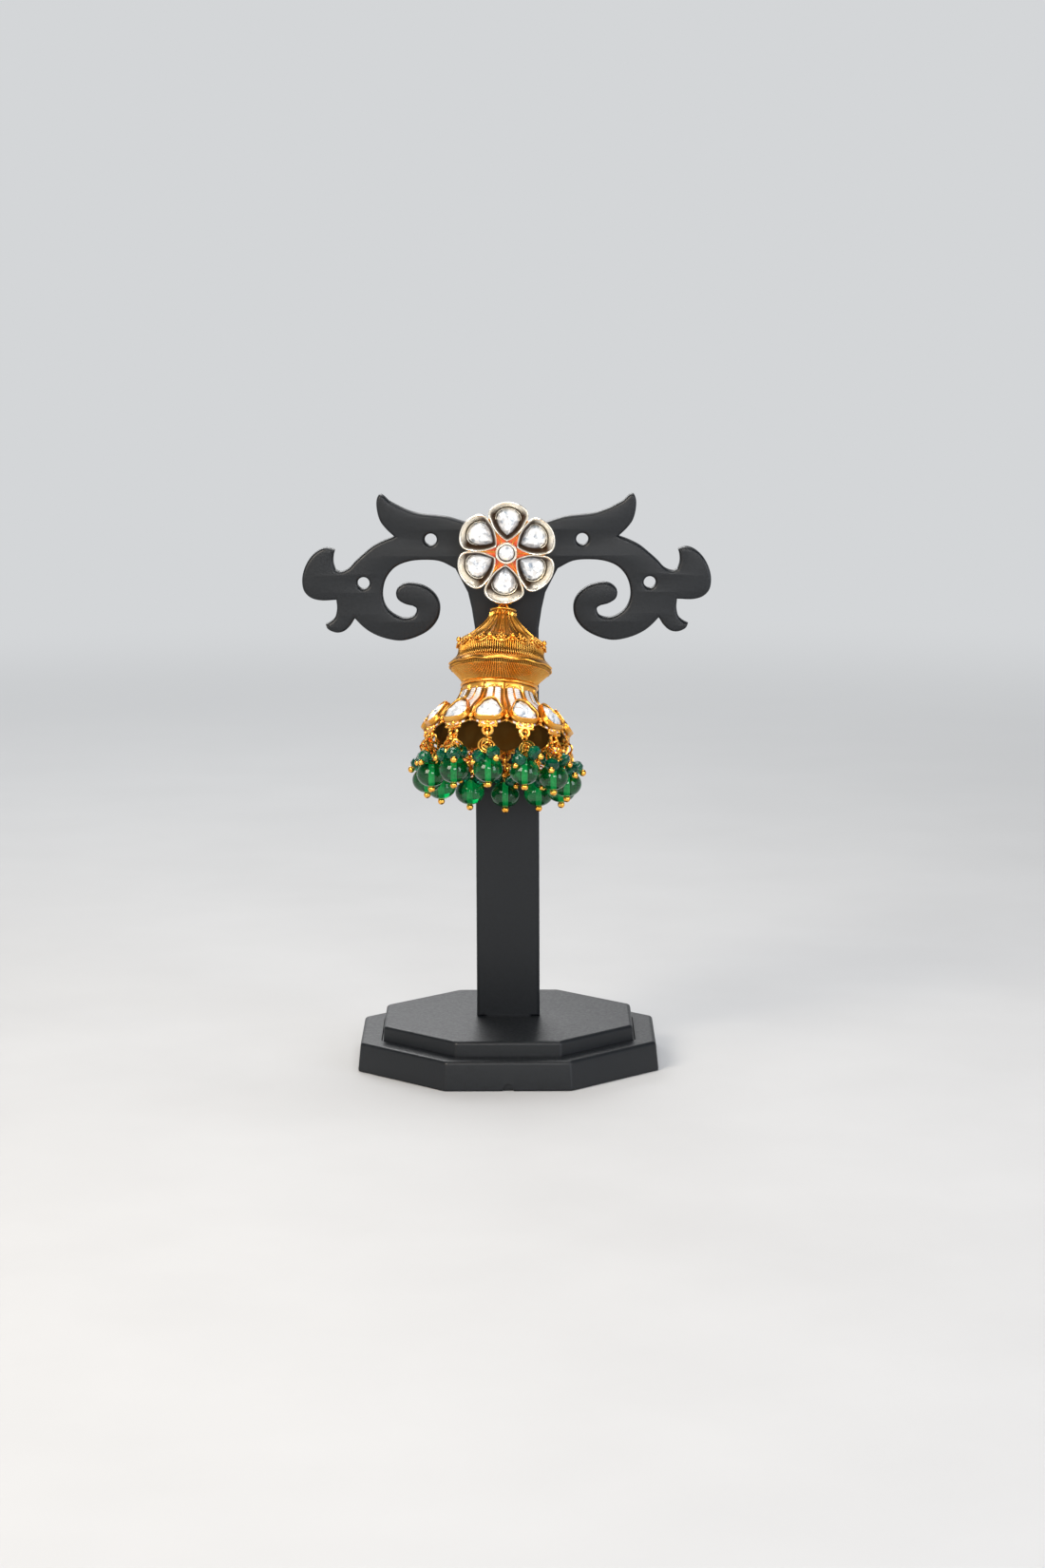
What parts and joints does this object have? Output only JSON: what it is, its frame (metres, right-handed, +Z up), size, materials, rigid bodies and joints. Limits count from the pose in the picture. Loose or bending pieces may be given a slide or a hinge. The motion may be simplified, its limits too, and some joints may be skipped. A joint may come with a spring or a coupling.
{
  "type": "jhumka earring on a display stand",
  "caption": "Gold bell-shaped jhumka earring with a flower stud, foiled stones and green bead clusters, hanging on a black scroll-arm display stand with an octagonal base.",
  "frame": {"origin": "centre of the stand base's underside", "axes": "+Z up, the earring faces -Y, +X to the right seen from the front"},
  "size_m": [0.078, 0.0604, 0.11],
  "materials": {
    "stand_plastic": "satin black moulding",
    "antique_gold": "gold-plated cast brass, polished with darkened recesses",
    "pale_gold": "bright pale gold plate",
    "foiled_glass": "silver-foiled cut glass",
    "green_glass": "smooth emerald green glass with gold wires"
  },
  "bodies": {
    "root": {"stand_base": "stand_plastic", "display_tree": "stand_plastic", "flower_setting": "pale_gold", "centre_stone": "foiled_glass", "petal_stone_1": "foiled_glass", "petal_stone_2": "foiled_glass", "petal_stone_3": "foiled_glass", "petal_stone_4": "foiled_glass", "petal_stone_5": "foiled_glass", "petal_stone_6": "foiled_glass", "post_nut": "antique_gold"},
    "link": {"link_ring": "antique_gold"},
    "drop": {"drop_body": "antique_gold", "bell_stone_1": "foiled_glass", "bell_stone_2": "foiled_glass", "bell_stone_3": "foiled_glass", "bell_stone_4": "foiled_glass", "bell_stone_5": "foiled_glass", "bell_stone_6": "foiled_glass", "bell_stone_7": "foiled_glass", "bell_stone_8": "foiled_glass", "bell_stone_9": "foiled_glass", "bell_stone_10": "foiled_glass", "bell_stone_11": "foiled_glass", "bell_stone_12": "foiled_glass", "bead_cluster_1": "green_glass", "bead_cluster_2": "green_glass", "bead_cluster_3": "green_glass", "bead_cluster_4": "green_glass", "bead_cluster_5": "green_glass", "bead_cluster_6": "green_glass", "bead_cluster_7": "green_glass", "bead_cluster_8": "green_glass", "bead_cluster_9": "green_glass", "bead_cluster_10": "green_glass", "bead_cluster_11": "green_glass", "bead_cluster_12": "green_glass"}
  },
  "joints": [
    {"name": "link_swing", "type": "hinge", "parent": "root", "child": "link", "pos_m": [-0.00056, -0.00734, 0.09099], "axis": [-1, 0, 0], "range_deg": [0, 8]},
    {"name": "drop_sway", "type": "hinge", "parent": "link", "child": "drop", "pos_m": [-0.00056, -0.00773, 0.08986], "axis": [0, 0.9455, -0.3256], "range_deg": [-12, 12]}
  ]
}
